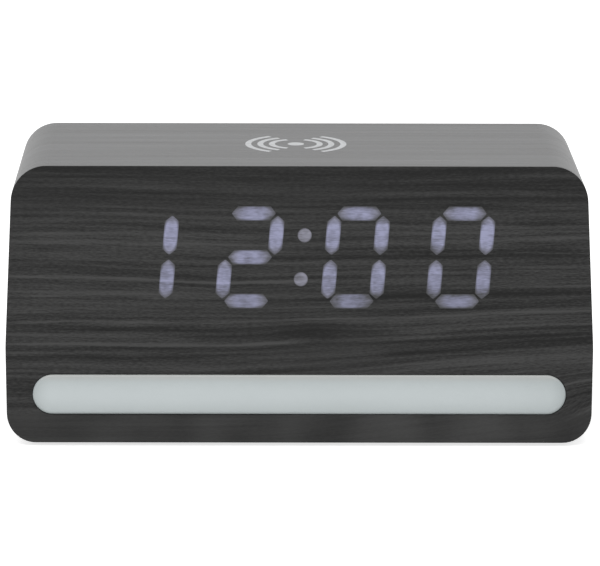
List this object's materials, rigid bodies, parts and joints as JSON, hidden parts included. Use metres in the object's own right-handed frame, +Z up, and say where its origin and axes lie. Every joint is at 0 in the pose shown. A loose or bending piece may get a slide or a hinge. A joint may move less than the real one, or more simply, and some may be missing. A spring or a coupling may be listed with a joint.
{
  "type": "digital led desk clock",
  "caption": "Desk clock in a black wood-grain block with a leaning front: LED digits shine through the face above a pill-shaped night light; charging pad on top, keys at the back.",
  "frame": {"origin": "on the floor under the middle of the clock, where its four feet stand", "axes": "+X to the viewer's right along the width, -Y towards the viewer, +Z up"},
  "size_m": [0.15, 0.088, 0.0704],
  "materials": {
    "case_board": "black-stained MDF",
    "wood_foil": "black wood-grain foil, satin",
    "lit_lens": "translucent, lit from behind",
    "dark_lens": "translucent under the foil's print, unlit",
    "milky_lens": "milky, satin",
    "white_plastic": "moulded, matt",
    "black_plastic": "moulded, fine texture",
    "key_plastic": "moulded, satin",
    "switch_plastic": "moulded, matt",
    "circuit_board": "solder mask",
    "led_package": "clear resin",
    "chip": "moulded, matt",
    "connector": "moulded, matt",
    "wire_skin": "soft, satin",
    "ribbon_skin": "soft, satin",
    "copper": "enamelled copper",
    "ferrite": "dark grey, matt",
    "screw_steel": "blackened steel",
    "socket_steel": "plated steel",
    "cell_steel": "plated steel",
    "foot_rubber": "matt"
  },
  "bodies": {
    "case": {"case_block": "case_board", "glue_blocks": "case_board", "wrap_foil": "wood_foil", "front_foil": "wood_foil", "lit_segments": "lit_lens", "unlit_segments": "dark_lens", "light_bar_lens": "milky_lens", "display_reflector": "white_plastic", "display_board": "circuit_board", "display_leds": "led_package", "display_screws": "screw_steel", "light_tray": "white_plastic", "light_board": "circuit_board", "light_leds": "led_package", "light_screws": "screw_steel", "charging_coil": "copper", "coil_ferrite": "ferrite", "coil_tray": "white_plastic", "coil_tray_screws": "screw_steel", "coil_leads": "copper", "charger_board": "circuit_board", "charger_board_parts": "chip", "charger_board_screws": "screw_steel", "charger_leads": "wire_skin", "rear_cover": "black_plastic", "rear_cover_screws": "screw_steel", "main_board": "circuit_board", "main_board_parts": "chip", "main_board_screws": "screw_steel", "key_switches": "switch_plastic", "power_socket_shell": "socket_steel", "power_socket_tongue": "switch_plastic", "buzzer": "chip", "cell_holder": "switch_plastic", "coin_cell": "cell_steel", "cell_contacts": "cell_steel", "lead_plugs": "connector", "display_ribbon": "ribbon_skin", "light_leads": "wire_skin", "feet": "foot_rubber"},
    "set_key": {"set_button": "key_plastic", "set_plunger": "switch_plastic"},
    "up_key": {"up_button": "key_plastic", "up_plunger": "switch_plastic"},
    "down_key": {"down_button": "key_plastic", "down_plunger": "switch_plastic"},
    "light_key": {"light_button": "key_plastic", "light_plunger": "switch_plastic"},
    "battery_cover_body": {"battery_cover": "black_plastic"}
  },
  "joints": [
    {"name": "set_press", "type": "slide", "parent": "case", "child": "set_key", "axis": [0, -1, 0], "range_m": [0, 0.00035], "stiffness_N_per_m": 1500, "springref_m": -0.0004},
    {"name": "up_press", "type": "slide", "parent": "case", "child": "up_key", "axis": [0, -1, 0], "range_m": [0, 0.00035], "stiffness_N_per_m": 1500, "springref_m": -0.0004},
    {"name": "down_press", "type": "slide", "parent": "case", "child": "down_key", "axis": [0, -1, 0], "range_m": [0, 0.00035], "stiffness_N_per_m": 1500, "springref_m": -0.0004},
    {"name": "light_press", "type": "slide", "parent": "case", "child": "light_key", "axis": [0, -1, 0], "range_m": [0, 0.00035], "stiffness_N_per_m": 1500, "springref_m": -0.0004},
    {"name": "battery_cover_turn", "type": "hinge", "parent": "case", "child": "battery_cover_body", "pos_m": [0.033, 0.0432, 0.037], "axis": [0, 1, 0], "range_deg": [0, 60]}
  ]
}
